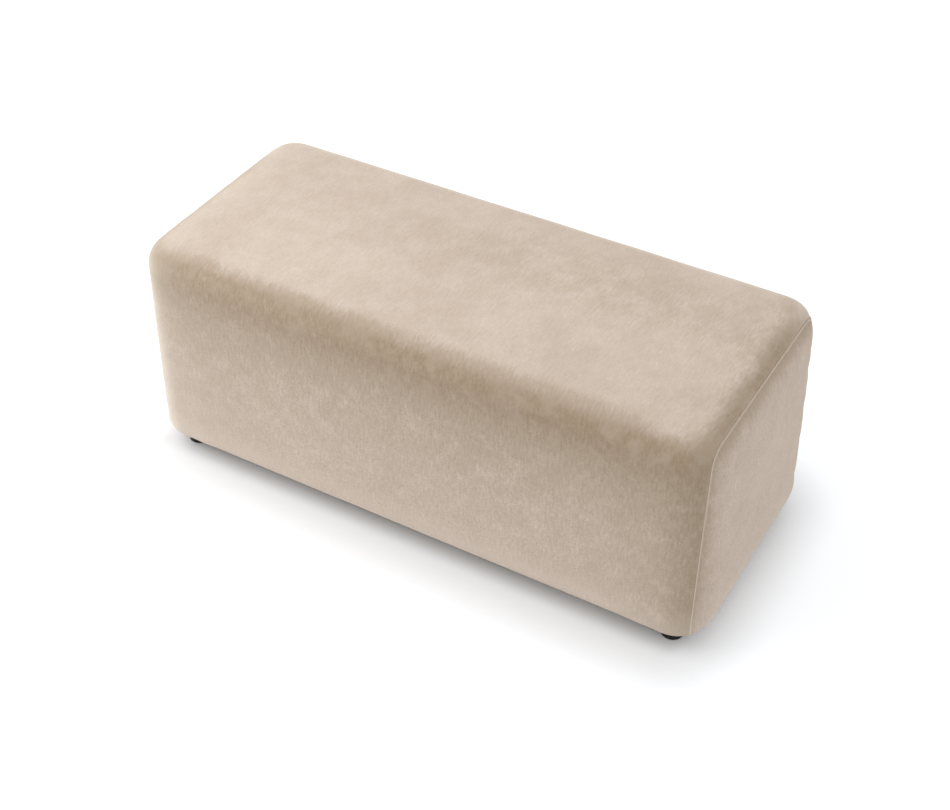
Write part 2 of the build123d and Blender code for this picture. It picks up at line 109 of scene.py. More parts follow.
class NodeSheet:
    # Wires one material: add a node, link its sockets

    def __init__(self, name):
        self.material = bpy.data.materials.new(name)
        self.material.use_nodes = True
        self.tree = self.material.node_tree
        self.shader = self.tree.nodes["Principled BSDF"]

    def put(self, socket, value):
        if isinstance(value, bpy.types.NodeSocket):
            self.tree.links.new(value, socket)
        else:
            socket.default_value = value

    def add(self, kind, settings=None, inputs=None):
        node = self.tree.nodes.new(kind)
        for key, value in (settings or {}).items():
            setattr(node, key, value)
        for key, value in (inputs or {}).items():
            self.put(node.inputs[key], value)
        return node

    def math(self, operation, first, second=0.0):
        node = self.add("ShaderNodeMath", {"operation": operation})
        self.put(node.inputs[0], first)
        self.put(node.inputs[1], second)
        return node.outputs[0]

    def range(self, value, fromLow, fromHigh, toLow=0.0, toHigh=1.0, kind="LINEAR"):
        node = self.add("ShaderNodeMapRange", {"interpolation_type": kind}, {
            "Value": value, "From Min": fromLow, "From Max": fromHigh, "To Min": toLow, "To Max": toHigh})
        return node.outputs["Result"]

    def noise(self, place, scale, detail=2.0, rough=0.5):
        node = self.add("ShaderNodeTexNoise", None, {
            "Vector": place, "Scale": scale, "Detail": detail, "Roughness": rough})
        return node.outputs["Fac"]

    def stretch(self, place, scale):
        return self.add("ShaderNodeMapping", None, {"Vector": place, "Scale": scale}).outputs["Vector"]

    def mix(self, share, first, second, blend="MIX"):
        node = self.add("ShaderNodeMix", {"data_type": "RGBA", "blend_type": blend})
        self.put(node.inputs[0], share)
        self.put(node.inputs[6], first)
        self.put(node.inputs[7], second)
        return node.outputs[2]

    def bump(self, height, strength, distance, under=None):
        node = self.add("ShaderNodeBump", None, {
            "Height": height, "Strength": strength, "Distance": distance})
        if under is not None:
            self.put(node.inputs["Normal"], under)
        return node.outputs["Normal"]

    def place(self):
        return self.add("ShaderNodeTexCoord").outputs["Object"]

    def mark(self, name):
        return self.add("ShaderNodeAttribute", {"attribute_name": name}).outputs["Fac"]

    def shade(self, color, normal=None, rough=0.8, specular=0.3, metal=0.0):
        self.put(self.shader.inputs["Base Color"], color)
        self.put(self.shader.inputs["Roughness"], rough)
        self.shader.inputs["Specular IOR Level"].default_value = specular
        self.shader.inputs["Metallic"].default_value = metal
        if normal is not None:
            self.put(self.shader.inputs["Normal"], normal)
        return self.material


# Cover fabric: a dense, short, pale beige pile. Over bends, beside seams and round the lower edge it is
# darkened towards the darker ground, partly where the pile parts and partly as painted shade. Painted
# highlights lighten it beside the seams, round the left end, along the back edge and low on the sides. It
# lies in faint streaks along the wrap.

pile = dict(
    color=(217, 201, 187),
    ground=(163, 144, 121),      # what shows where the pile parts, and the colour of the painted shade over bends, beside seams and round the lower edge
    brushed=(230, 216, 201),     # brushed up
    pressed=(197, 178, 160),     # brushed down
    tipsAndHighlight=(242, 232, 218),       # tips that stand up along a seam; also the painted highlights round the left end, along the back edge and low on the sides
    deep=(132, 113, 92),         # between the fibres
    sheen=0.50,
    sheenRoughness=0.38,
    sheenTint=(240, 229, 216),
    fibreScale=330.0,
    fibre=0.27,
    streakScale=240.0,
    mottleScale=26.0,
    mottle=0.34,
    broadScale=6.0,
)


def makePileMaterial():
    sheet = NodeSheet("beigePile")
    place = sheet.place()
    nap = sheet.add("ShaderNodeUVMap", {"uv_map": "nap"}).outputs["UV"]
    openedAndShaded = sheet.mark("pileOpenAndShade")
    normals = sheet.add("ShaderNodeNewGeometry").outputs["Normal"]
    turned = sheet.add("ShaderNodeSeparateXYZ", None, {"Vector": normals}).outputs
    level = turned["Z"]
    fibre = sheet.noise(place, pile["fibreScale"], 2.0, 0.65)
    streak = sheet.noise(sheet.stretch(nap, (1.0, 0.22, 1.0)), pile["streakScale"], 3.0, 0.6)
    mottle = sheet.noise(place, pile["mottleScale"], 4.0, 0.55)
    broad = sheet.noise(place, pile["broadScale"], 2.0, 0.5)
    uneven = sheet.range(level, 0.1, 0.8, 0.45, 1.0)         # fainter patches on the sides than on top
    uneven = sheet.math("MAXIMUM", uneven, sheet.math("MULTIPLY", turned["X"], 0.8))
    patches = sheet.math("MULTIPLY", sheet.range(mottle, 0.36, 0.62, 0.0, pile["mottle"]), uneven)
    swept = sheet.math("MULTIPLY", sheet.range(broad, 0.42, 0.66, 0.0, 0.3), uneven)
    tone = sheet.mix(patches, pickedColor(*pile["color"]), pickedColor(*pile["pressed"]))
    tone = sheet.mix(swept, tone, pickedColor(*pile["brushed"]))
    edge = sheet.math("ADD", sheet.range(mottle, 0.3, 0.7, -0.16, 0.16),
                      sheet.range(streak, 0.3, 0.7, -0.12, 0.12))
    # Painted shade, partly parted pile: the darker ground over bends, beside seams and round the lower edge
    faded = sheet.math("MULTIPLY", edge, sheet.range(openedAndShaded, 0.02, 0.3))
    partedAndShaded = sheet.range(sheet.math("ADD", openedAndShaded, faded), 0.0, 1.0)
    tone = sheet.mix(partedAndShaded, tone, pickedColor(*pile["ground"]))
    tone = sheet.mix(sheet.range(streak, 0.35, 0.7, 0.0, 0.13), tone, pickedColor(*pile["deep"]))
    grain = sheet.math("MULTIPLY", sheet.range(fibre, 0.35, 0.7, 0.0, pile["fibre"]),
                       sheet.range(level, 0.2, 0.9, 1.10, 0.50))
    tone = sheet.mix(grain, tone, pickedColor(*pile["deep"]))
    tufts = sheet.math("MULTIPLY", sheet.range(mottle, 0.45, 0.62, 0.0, 0.22), partedAndShaded)
    tone = sheet.mix(tufts, tone, pickedColor(*pile["color"]))
    # Painted highlight, partly standing tips: lighter beside the seams, round the left end, along the back
    # edge and low on the sides
    tipsAndHighlight = sheet.math("MULTIPLY", sheet.mark("pileTipsAndHighlight"), sheet.range(streak, 0.2, 0.6, 0.75, 1.0))
    tone = sheet.mix(tipsAndHighlight, tone, pickedColor(*pile["tipsAndHighlight"]))
    normal = sheet.bump(fibre, 0.45, 0.0007)
    normal = sheet.bump(streak, 0.30, 0.0010, normal)
    normal = sheet.bump(mottle, 0.30, 0.0020, normal)
    sheet.shade(tone, normal, rough=0.95, specular=0.1)
    sheet.shader.inputs["Sheen Weight"].default_value = pile["sheen"]
    sheet.shader.inputs["Sheen Roughness"].default_value = pile["sheenRoughness"]
    sheet.shader.inputs["Sheen Tint"].default_value = pickedColor(*pile["sheenTint"])
    return sheet.material


# The padded form under the cover, in metres. Its sides bow, its ends lean in upwards and
# its top is crowned between the seams.

body = dict(
    length=1.086,
    depth=0.459,
    height=0.418,
    bottom=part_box("cover_wrap")[0].z,
    cornerRadius=0.063,
    topRadius=0.046,
    bottomRadius=0.028,
    lengthLean=0.0054,
    depthLean=0.0011,
    endBow=0.007,
    sideBow=0.004,
    topCrown=0.0045,
    leastBow=0.1,
    seamInset=0.015,
    cover=0.0016,
    hem=0.040,           # turned under the frame
    cell=0.012,          # one cell of the grid, before it is divided
)
seamX = body["length"] / 2 - body["seamInset"]
bodyTop = body["bottom"] + body["height"]
bodyMiddle = body["bottom"] + body["height"] / 2
railLow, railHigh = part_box("lower_rail_front")
hemX, hemY = railHigh.x - body["hem"], -railLow.y - body["hem"]


def bodyDistance(place, inset=0.0):
    # How far a place lies outside the padded form, less than zero inside
    share = (place[2] - body["bottom"]) / body["height"]
    lean = 1.0 - 2.0 * min(max(share, 0.0), 1.0)
    bow = max(4.0 * share * (1.0 - share), body["leastBow"])
    halfX = body["length"] / 2 + body["lengthLean"] * lean - inset
    halfY = body["depth"] / 2 + body["depthLean"] * lean - inset
    halfX += body["endBow"] * bow * max(1.0 - (place[1] / halfY) ** 2, 0.0)
    halfY += body["sideBow"] * bow * max(1.0 - (place[0] / halfX) ** 2, 0.0)
    corner = body["cornerRadius"] - inset
    outX = abs(place[0]) - halfX + corner
    outY = abs(place[1]) - halfY + corner
    side = math.hypot(max(outX, 0.0), max(outY, 0.0)) + min(max(outX, outY), 0.0) - corner
    half = body["height"] / 2 - inset
    if place[2] > bodyMiddle:
        radius = body["topRadius"] - inset
        across = body["depth"] / 2 - body["topRadius"]
        inward = min(max((-side - radius) / across, 0.0), 1.0)
        half += body["topCrown"] * (1.0 - (1.0 - inward) ** 2)
    else:
        radius = body["bottomRadius"] - inset
    up = abs(place[2] - bodyMiddle) - half + radius
    out = side + radius
    return math.hypot(max(out, 0.0), max(up, 0.0)) + min(max(out, up), 0.0) - radius


def pullToForm(place, ways, inset=0.0):
    # Moves a place onto the padded form, along the given axes only
    step = 0.0005
    for _ in range(12):
        distance = bodyDistance(place, inset)
        if abs(distance) < 0.00002:
            break
        slope = Vector((0.0, 0.0, 0.0))
        for axis in ways:
            ahead, behind = place.copy(), place.copy()
            ahead[axis] += step
            behind[axis] -= step
            slope[axis] = (bodyDistance(ahead, inset) - bodyDistance(behind, inset)) / (2 * step)
        steep = slope.length_squared
        if steep < 0.01:
            break
        place = place - slope * (distance / steep)
    return place


def cutAcross(bm, faces, axis, place, clearAbove=False, clearBelow=False):
    spot, normal = Vector((0.0, 0.0, 0.0)), Vector((0.0, 0.0, 0.0))
    spot[axis] = place
    normal[axis] = 1.0
    # Kept in order, so that each run numbers the corners alike
    verts = dict.fromkeys(vert for face in faces for vert in face.verts)
    edges = dict.fromkeys(edge for face in faces for edge in face.edges)
    return bmesh.ops.bisect_plane(bm, geom=[*verts, *edges, *faces], dist=0.00002,
                                  plane_co=spot, plane_no=normal,
                                  clear_outer=clearAbove, clear_inner=clearBelow)


def makeForm(inset=0.0, cell=body["cell"]):
    # A closed box of even cells, pulled onto the padded form. Its faces are numbered by
    # material: 0 for the wrap, 1 and 2 for the left and right end, 3 for the underside.
    length, depth = 2 * (seamX - inset), body["depth"] - 2 * inset
    low, high = body["bottom"] + inset, bodyTop - inset
    bm = bmesh.new()
    bmesh.ops.create_cube(bm, size=1.0)
    bmesh.ops.scale(bm, vec=(length, depth, high - low), verts=bm.verts)
    bmesh.ops.translate(bm, vec=(0.0, 0.0, (low + high) / 2), verts=bm.verts)
    for axis, start, end in ((0, -length / 2, length / 2), (1, -depth / 2, depth / 2), (2, low, high)):
        count = round((end - start) / cell)
        for index in range(1, count):
            cutAcross(bm, bm.faces[:], axis, start + (end - start) * index / count)
    bm.normal_update()
    for face in bm.faces:
        if abs(face.normal.x) > 0.5:
            face.material_index = 2 if face.normal.x > 0 else 1
        elif face.normal.z < -0.5:
            face.material_index = 3
    crease = bm.edges.layers.float.new("crease_edge")
    for edge in bm.edges:
        sides = set(face.material_index for face in edge.link_faces)
        if len(sides) > 1 and sides & {1, 2}:
            edge[crease] = 1.0               # the seam line stays where it is when the mesh is divided
    reachX, reachY, reachZ = length / 2, depth / 2, (high - low) / 2
    middle = (low + high) / 2
    for vert in bm.verts:
        onEnd = abs(vert.co.x) > reachX - 0.00001
        reach = max(abs(vert.co.y) / reachY, abs(vert.co.z - middle) / reachZ)
        if not onEnd or reach > 0.99999:
            vert.co = pullToForm(vert.co, (1, 2), inset)
        elif reach > 0.00001:
            inner = Vector((vert.co.x, 0.0, middle))
            rim = pullToForm(inner + (vert.co - inner) / reach, (1, 2), inset)
            vert.co = pullToForm(inner + (rim - inner) * reach, (0,), inset)
        else:
            vert.co = pullToForm(vert.co, (0,), inset)
    bmesh.ops.recalc_face_normals(bm, faces=bm.faces)
    return bm


# The cover is drawn over the padding by simulated cloth: it is held at its seams and
# under the frame, and the padding pushes it out in between.

settle = dict(
    frames=20,
    padGrip=0.16,            # how firmly the padding holds the cover's shape
    mean=0.0016,             # the swell that the form has already
    mostOut=0.0020,
    mostIn=0.0009,
    mostAlong=0.0030,
    seamFade=0.05,
    cloth=dict(
        quality=6,
        mass=0.3,
        tension_stiffness=30.0,
        compression_stiffness=30.0,
        shear_stiffness=15.0,
        bending_stiffness=1.5,
        use_pressure=True,
        uniform_pressure_force=4.0,
        shrink_min=-0.006,       # the cover is cut wider than the form by this share
    ),
)


def settleCover(piece):
    held = piece.vertex_groups.new(name="held")
    for vert in piece.data.vertices:
        onSeam = abs(abs(vert.co.x) - seamX) < 0.0001
        under = vert.co.z < body["bottom"] + 0.002
        held.add([vert.index], 1.0 if onSeam or under else settle["padGrip"], "REPLACE")
    cloth = piece.modifiers.new("settle", "CLOTH")
    for key, value in settle["cloth"].items():
        setattr(cloth.settings, key, value)
    cloth.settings.effector_weights.gravity = 0.0
    cloth.settings.vertex_group_mass = "held"
    cloth.point_cache.frame_start = 1
    cloth.point_cache.frame_end = settle["frames"]
    for frameNumber in range(1, settle["frames"] + 1):
        scene.frame_set(frameNumber)
    settled = evaluatedMesh(piece)
    piece.modifiers.clear()
    piece.vertex_groups.clear()
    scene.frame_set(1)
    furthest = 0.0
    for vert, moved in zip(piece.data.vertices, settled.vertices):
        normal = vert.normal.copy()
        shift = moved.co - vert.co
        furthest = max(furthest, shift.length)
        away = smoothStep(0.0, settle["seamFade"], abs(abs(vert.co.x) - seamX))
        away *= smoothStep(0.0, 0.01, shift.length)
        out = min(max(shift.dot(normal) - settle["mean"] * away, -settle["mostIn"]), settle["mostOut"])
        along = shift - normal * shift.dot(normal)
        if along.length > settle["mostAlong"]:
            along = along * (settle["mostAlong"] / along.length)
        vert.co = vert.co + normal * out + along
    print("cover settled, furthest move before the cap", round(furthest * 1000, 1), "mm")


def divideOnce(piece):
    smoother = piece.modifiers.new("divide", "SUBSURF")
    smoother.levels = 1
    smoother.render_levels = 1
    divided = evaluatedMesh(piece)
    piece.modifiers.clear()
    piece.data = divided


# Panels of the cover, cut out of the one padded surface

seam = dict(
    loops=(0.0007, 0.0015, 0.0024, 0.0036, 0.0055, 0.0085, 0.0125),    # edge loops beside the seam
    loopRange=(-0.004, 0.026),   # faces this near to the seam are cut
    gap=0.0002,
    ridgePlace=0.0019,
    ridgeWidth=0.0011,
    ridgeHeight=0.0009,
    ridgeReach=0.02,
    turnDepth=0.0007,
    turnWidth=0.0010,
    allowance=0.0070,
    pucker=0.0007,
    puckerStart=0.004,
    puckerReach=0.040,
    puckerPitch=0.019,
    underRise=0.012,             # below this the ends are not stitched between the hems
    underFade=0.004,
)
unevenness = dict(height=0.00045, pitch=0.085)


def cutPanel(mesh, number, lineX, lineY, inset=0.0):
    # One panel of the padded surface. The underside belongs to the wrap along its long
    # sides, to the ends between them, and to no panel inside the two lines.
    bm = bmesh.new()
    bm.from_mesh(mesh)
    for axis, place in ((0, lineX), (0, -lineX), (1, lineY), (1, -lineY)):
        cutAcross(bm, [face for face in bm.faces if face.material_index == 3], axis, place)
    unwanted = []
    for face in bm.faces:
        owner = face.material_index
        if owner == 3:
            middle = face.calc_center_median()
            if abs(middle.y) > lineY:
                owner = 0
            elif abs(middle.x) > lineX:
                owner = 2 if middle.x > 0 else 1
        if owner != number:
            unwanted.append(face)
        face.material_index = 0
    bm.normal_update()
    if inset:
        normals = [vert.normal.copy() for vert in bm.verts]
        for vert, normal in zip(bm.verts, normals):
            vert.co = vert.co - normal * inset
    bmesh.ops.delete(bm, geom=unwanted, context="FACES")
    return bm


def seamRipple(place, number):
    # Noise that runs along the seam and not across it
    rim = Vector((0.0, place.y, place.z - bodyMiddle))
    if number:
        rim = rim / max(abs(rim.y) / (body["depth"] / 2), abs(rim.z) / (body["height"] / 2), 0.05)
    start = Vector((7.3 * number, 0.0, 1.7 if place.x > 0 else 0.0))
    pitch = seam["puckerPitch"]
    return noise.noise(rim / pitch + start) + 0.5 * noise.noise(rim * 2.3 / pitch + start)


def dressPanel(bm, number):
    # The seam's ridge, its turned-in allowance, its puckers and the pad's slight unevenness
    side = 1.0 if number else -1.0
    nearest, furthest = seam["loopRange"]
    for end in ((-1, 1), (-1,), (1,))[number]:
        for loop in seam["loops"]:
            near = [face for face in bm.faces
                    if nearest < (face.calc_center_median().x * end - seamX) * side < furthest]
            cutAcross(bm, near, 0, end * (seamX + side * loop))
    bm.normal_update()
    seamEdges = [edge for edge in bm.edges if edge.is_boundary
                 and all(abs(abs(vert.co.x) - seamX) < 0.00005 for vert in edge.verts)]
    seamNormals = {vert: vert.normal.copy() for edge in seamEdges for vert in edge.verts}
    moves = []
    for vert in bm.verts:
        place = vert.co
        distance = (abs(place.x) - seamX) * side
        stitched = 1.0
        if number and place.z < body["bottom"] + seam["underRise"]:
            stitched = smoothStep(hemY - seam["underFade"], hemY + seam["underFade"], abs(place.y))
        ripple = seamRipple(place, number)
        fade = 1.0 - smoothStep(0.0, seam["puckerReach"], distance)
        fade *= smoothStep(0.0, seam["puckerStart"], distance)
        lift = seam["pucker"] * ripple * fade * stitched
        if distance < seam["ridgeReach"]:
            turn = seam["turnDepth"] * math.exp(-(distance / seam["turnWidth"]) ** 2)
            ridge = math.exp(-((distance - seam["ridgePlace"]) / seam["ridgeWidth"]) ** 2)
            ridge *= seam["ridgeHeight"] * (1.0 + 0.35 * ripple) * (0.25 if number else 1.0)
            lift += (ridge - turn) * stitched
        lift += unevenness["height"] * noise.noise(place / unevenness["pitch"])
        moves.append(vert.normal * lift)
    for vert, move in zip(bm.verts, moves):
        vert.co = vert.co + move
    for vert in seamNormals:
        vert.co.x += math.copysign(seam["gap"] / 2, vert.co.x) * side
    turned = bmesh.ops.extrude_edge_only(bm, edges=seamEdges)
    for vert in [item for item in turned["geom"] if isinstance(item, bmesh.types.BMVert)]:
        partner = next(other for edge in vert.link_edges for other in edge.verts if other in seamNormals)
        inward = Vector((0.0, seamNormals[partner].y, seamNormals[partner].z)).normalized()
        vert.co = vert.co - inward * seam["allowance"]
    bm.normal_update()
    return bm


# Where the pile parts, darkened further as painted shade, and where its tips stand up, lightened further as
# painted highlights. The first is 0 where the pile is closed and unshaded and 1 where it lies open and
# shaded over a bend.

partingAndShade = dict(
    sideRange=(0.2, 0.7),    # how level the surface is where a side becomes the top
    # The band over the long top edge is painted shade, partly parted pile
    bendStart=5.0,           # degrees round the long top edge, from level, at the front
    bendEnd=58.0,
    leftEnd=-14.0,           # the band reaches its full depth sooner towards the left
    leftRange=(-0.45, 0.2),
    backStart=30.0,          # and lies lower down at the back
    backRange=(0.10, 0.20),
    bandShare=(0.98, 0.86),  # at the right and at the left
    fadeDown=0.13,           # the painted shade and parting fade down the front and back over this length
    topShadePlace=0.06,          # painted shade on the right half of the top
    topShadeWidth=0.075,
    topShadeShare=0.20,
    topShadeRange=(-0.35, 0.25),
    underShade=0.7,          # painted shade round the lower edge
    underRange=(108.0, 140.0),
    wrapShare=(0.85, 0.13),  # darker beside a seam on the wrap, at the right and at the left, and on the ends after it: painted shade, partly parted pile
    uprightReach=0.060,
    topReach=0.021,
    endShare=(0.9, 0.2),
    endReach=0.012,
    endTopReach=0.026,
    crestPlace=0.0012,       # standing tips beside the seam, partly a painted highlight on the seam
    crestWidth=0.0009,
    crestShare=(0.06, 0.80),     # on the wrap and on the ends
    cornerHighlight=0.72,        # painted highlight round the left end
    cornerReach=0.035,
    backHighlight=0.40,          # painted highlight along the back edge
    backRise=(8.0, 40.0),
    backFall=(55.0, 85.0),
    lowBounceLight=0.20,           # and a little painted light from the floor, low on the sides
    lowStart=0.02,
    lowReach=0.115,
)


def between(pair, share):
    return pair[0] + (pair[1] - pair[0]) * share


def markPile(piece, number):
    openedAndShaded = piece.data.attributes.new("pileOpenAndShade", "FLOAT", "POINT")
    tipsAndHighlight = piece.data.attributes.new("pileTipsAndHighlight", "FLOAT", "POINT")
    edgeLevel = bodyTop - body["topRadius"]
    for vert in piece.data.vertices:
        place, normal = vert.co, vert.normal
        beside = abs(abs(place.x) - seamX)
        upright = 1.0 - smoothStep(*partingAndShade["sideRange"], normal.z)
        tilt = math.degrees(math.atan2(math.hypot(normal.x, normal.y), normal.z))
        # Painted shade beside the seam, partly parted pile, much deeper at the right than at the left
        if number:
            reach = between((partingAndShade["endTopReach"], partingAndShade["endReach"]), upright)
            beside += 0.5 * abs(normal.x) * beside
            left = 1.0 if number == 1 else 0.0
            closedAndUnshaded = 1.0 - between(partingAndShade["endShare"], left) * math.exp(-beside / reach)
        else:
            reach = between((partingAndShade["topReach"], partingAndShade["uprightReach"]), upright)
            left = 1.0 - smoothStep(*partingAndShade["leftRange"], place.x)
            closedAndUnshaded = 1.0 - between(partingAndShade["wrapShare"], left) * math.exp(-beside / reach)
            back = smoothStep(*partingAndShade["backRange"], place.y)
            start = partingAndShade["bendStart"] + partingAndShade["backStart"] * back
            end = partingAndShade["bendEnd"] + partingAndShade["leftEnd"] * left + 0.5 * start * back
            bend = smoothStep(start, end, tilt) * between(partingAndShade["bandShare"], left)
            # Painted shade on the right half of the top, towards the back
            flat = math.exp(-((place.y - partingAndShade["topShadePlace"]) / partingAndShade["topShadeWidth"]) ** 2)
            flat *= smoothStep(*partingAndShade["topShadeRange"], place.x) * (1.0 - upright)
            closedAndUnshaded *= 1.0 - partingAndShade["topShadeShare"] * flat
            # Painted shade over the long top edge, partly parted pile, fading down the front and back
            closedAndUnshaded *= 1.0 - bend * math.exp(-max(edgeLevel - place.z, 0.0) / partingAndShade["fadeDown"])
        # Painted shade round the lower edge, where it faces down
        closedAndUnshaded *= 1.0 - partingAndShade["underShade"] * smoothStep(*partingAndShade["underRange"], tilt)
        openedAndShaded.data[vert.index].value = 1.0 - closedAndUnshaded
        # Standing tips beside the seam, partly a painted highlight
        tipsAndLight = partingAndShade["crestShare"][1 if number else 0]
        tipsAndLight *= math.exp(-((beside - partingAndShade["crestPlace"]) / partingAndShade["crestWidth"]) ** 2)
        # Painted highlight round the left end
        corner = left * math.exp(-beside / partingAndShade["cornerReach"])
        tipsAndLight += partingAndShade["cornerHighlight"] * corner * (0.5 + 0.5 * upright)
        if not number:
            # Painted highlight along the back edge
            brushed = smoothStep(*partingAndShade["backRise"], tilt) * (1.0 - smoothStep(*partingAndShade["backFall"], tilt))
            tipsAndLight += partingAndShade["backHighlight"] * back * brushed
        # Painted light low on the sides
        low = 1.0 - smoothStep(body["bottom"] + partingAndShade["lowStart"], partingAndShade["lowReach"], place.z)
        tipsAndLight += partingAndShade["lowBounceLight"] * low
        tipsAndHighlight.data[vert.index].value = min(tipsAndLight, 1.0)


def mapNap(piece, number):
    # Across and along the nap, in metres, so that streaks follow the cloth
    layer = piece.data.uv_layers.new(name="nap")
    for loop in piece.data.loops:
        place = piece.data.vertices[loop.vertex_index].co
        down = bodyTop - place.z
        if number:
            layer.data[loop.index].uv = (place.y, down + seamX - abs(place.x))
        else:
            layer.data[loop.index].uv = (place.x, math.copysign(abs(place.y) + down, place.y))


pileMaterial = makePileMaterial()
form = finishMesh(makeForm(), "paddedForm", pileMaterial)
print("padded form built,", len(form.data.polygons), "faces")
settleCover(form)
coarseForm = form.data.copy()
divideOnce(form)
fineForm = form.data
bpy.data.objects.remove(form)

cover = dict(
    coverWrap=dict(flat=(1.070, 1.384), node="cover_wrap", under="waddingWrap"),
    coverEndLeft=dict(flat=(0.460, 0.470), node="cover_end_left", under="waddingEndLeft"),
    coverEndRight=dict(flat=(0.460, 0.470), node="cover_end_right", under="waddingEndRight"),
)
for number, (name, facts) in enumerate(cover.items()):
    panel = finishMesh(dressPanel(cutPanel(fineForm, number, hemX, hemY), number), name, pileMaterial)
    markPile(panel, number)
    mapNap(panel, number)
    addThickness(panel, body["cover"])
    placeOn(panel, "pile_fabric", facts["node"])
    print(name, "cut,", len(panel.data.polygons), "faces")


# Seam thread: one row of short stitches, sunk between the two panels

thread = dict(
    color=(206, 190, 172),
    thickness=0.0005,
    stitch=0.0027,
    pitch=0.0034,
    depth=0.0016,
    tilt=8.0,            # degrees that every other stitch leans
)


def makeThreadMaterial():
    sheet = NodeSheet("stitchThread")
    twist = sheet.noise(sheet.place(), 2600.0, 2.0, 0.5)
    tone = sheet.mix(sheet.range(twist, 0.35, 0.65),
                     pickedColor(*thread["color"]), pickedColor(*pile["ground"]))
    return sheet.shade(tone, sheet.bump(twist, 0.4, 0.0002), rough=0.6, specular=0.3)


def seamLine(end):
    # The seam's places in order, from under the front, over the top, to under the back
    ring = [vert.co.copy() for vert in fineForm.vertices if abs(vert.co.x - end * seamX) < 0.0001]
    ring = [place for place in ring if place.z > body["bottom"] + 0.002 or abs(place.y) > hemY]
    return sorted(ring, key=lambda place: math.atan2(place.y, place.z - bodyMiddle))


def makeThread(end):
    bm = bmesh.new()
    line = seamLine(end)
    stretch = thread["stitch"] / thread["thickness"]
    walked, wanted, count = 0.0, thread["pitch"] / 2, 0
    for before, after in zip(line, line[1:]):
        step = after - before
        if step.length > 0.03:
            continue
        along = step.normalized()
        outward = Vector((end, 0.0, 0.0)).cross(along) * end
        while wanted <= walked + step.length:
            spot = before + along * (wanted - walked) - outward * thread["depth"]
            lean = math.radians(thread["tilt"]) * (1 if count % 2 else -1)
            turn = Matrix((outward, along.cross(outward), along)).transposed().to_4x4()
            shape = Matrix.Rotation(lean, 4, "X") @ Matrix.Diagonal((1, 1, stretch, 1))
            bmesh.ops.create_uvsphere(bm, u_segments=6, v_segments=4, radius=thread["thickness"] / 2,
                                      matrix=Matrix.Translation(spot) @ turn @ shape)
            wanted += thread["pitch"]
            count += 1
        walked += step.length
    bmesh.ops.recalc_face_normals(bm, faces=bm.faces)
    return bm, count


threadMaterial = makeThreadMaterial()
for end, side in ((-1, "Left"), (1, "Right")):
    bm, count = makeThread(end)
    stitches = finishMesh(bm, "seamThread" + side, threadMaterial)
    placeOn(stitches, "seam_thread", "seam_thread_" + side.lower())
    print(stitches.name, count, "stitches")


# Padding: wadding under the cover, then five foam slabs round the frame

padding = dict(
    waddingInset=0.0021,
    waddingThickness=0.0054,
    foamInset=0.0077,
    foamGrid=0.014,
    waddingColor=(236, 236, 232),
    waddingShade=(206, 206, 202),
    waddingCloud=(224, 224, 220),
    foamColor=(240, 226, 178),
    foamShade=(222, 204, 150),
    foamCell=(190, 168, 116),
)
cladX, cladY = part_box("panel_right")[1].x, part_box("panel_back")[1].y
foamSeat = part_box("foam_top")[0].z


def makeWaddingMaterial():
    sheet = NodeSheet("polyesterWadding")
    place = sheet.place()
    strands = sheet.noise(sheet.stretch(place, (1.0, 0.3, 0.6)), 520.0, 4.0, 0.7)
    clouds = sheet.noise(place, 26.0, 3.0, 0.5)
    tone = sheet.mix(sheet.range(strands, 0.3, 0.75),
                     pickedColor(*padding["waddingColor"]), pickedColor(*padding["waddingShade"]))
    tone = sheet.mix(sheet.range(clouds, 0.35, 0.7, 0.0, 0.4), tone, pickedColor(*padding["waddingCloud"]))
    normal = sheet.bump(strands, 0.6, 0.0015, sheet.bump(clouds, 0.5, 0.003))
    return sheet.shade(tone, normal, rough=1.0, specular=0.1)


def makeFoamMaterial():
    sheet = NodeSheet("seatFoam")
    place = sheet.place()
    cells = sheet.add("ShaderNodeTexVoronoi", None, {"Vector": place, "Scale": 620.0}).outputs["Distance"]
    clouds = sheet.noise(place, 14.0, 3.0, 0.5)
    tone = sheet.mix(sheet.range(clouds, 0.35, 0.7),
                     pickedColor(*padding["foamColor"]), pickedColor(*padding["foamShade"]))
    tone = sheet.mix(sheet.range(cells, 0.0, 0.5, 0.35, 0.0), tone, pickedColor(*padding["foamCell"]))
    return sheet.shade(tone, sheet.bump(cells, 0.6, 0.0006), rough=0.95, specular=0.2)


def cutSlab(mesh, cuts):
    # A slab of the foam form: each cut is an axis, a place and the side that goes
    bm = bmesh.new()
    bm.from_mesh(mesh)
    for axis, place, side in cuts:
        cutAcross(bm, bm.faces[:], axis, place, clearAbove=side > 0, clearBelow=side < 0)
        rims = [edge for edge in bm.edges if edge.is_boundary]
        bmesh.ops.holes_fill(bm, edges=rims, sides=0)
    for face in bm.faces:
        face.material_index = 0
    bmesh.ops.recalc_face_normals(bm, faces=bm.faces)
    return bm


waddingMaterial = makeWaddingMaterial()
wadding = dict(
    waddingWrap="wadding_wrap",
    waddingEndLeft="wadding_end_left",
    waddingEndRight="wadding_end_right",
)
for number, (name, node) in enumerate(wadding.items()):
    bm = cutPanel(coarseForm, number, cladX, cladY, padding["waddingInset"])
    layer = addThickness(finishMesh(bm, name, waddingMaterial), padding["waddingThickness"])
    placeOn(layer, "wadding", node)

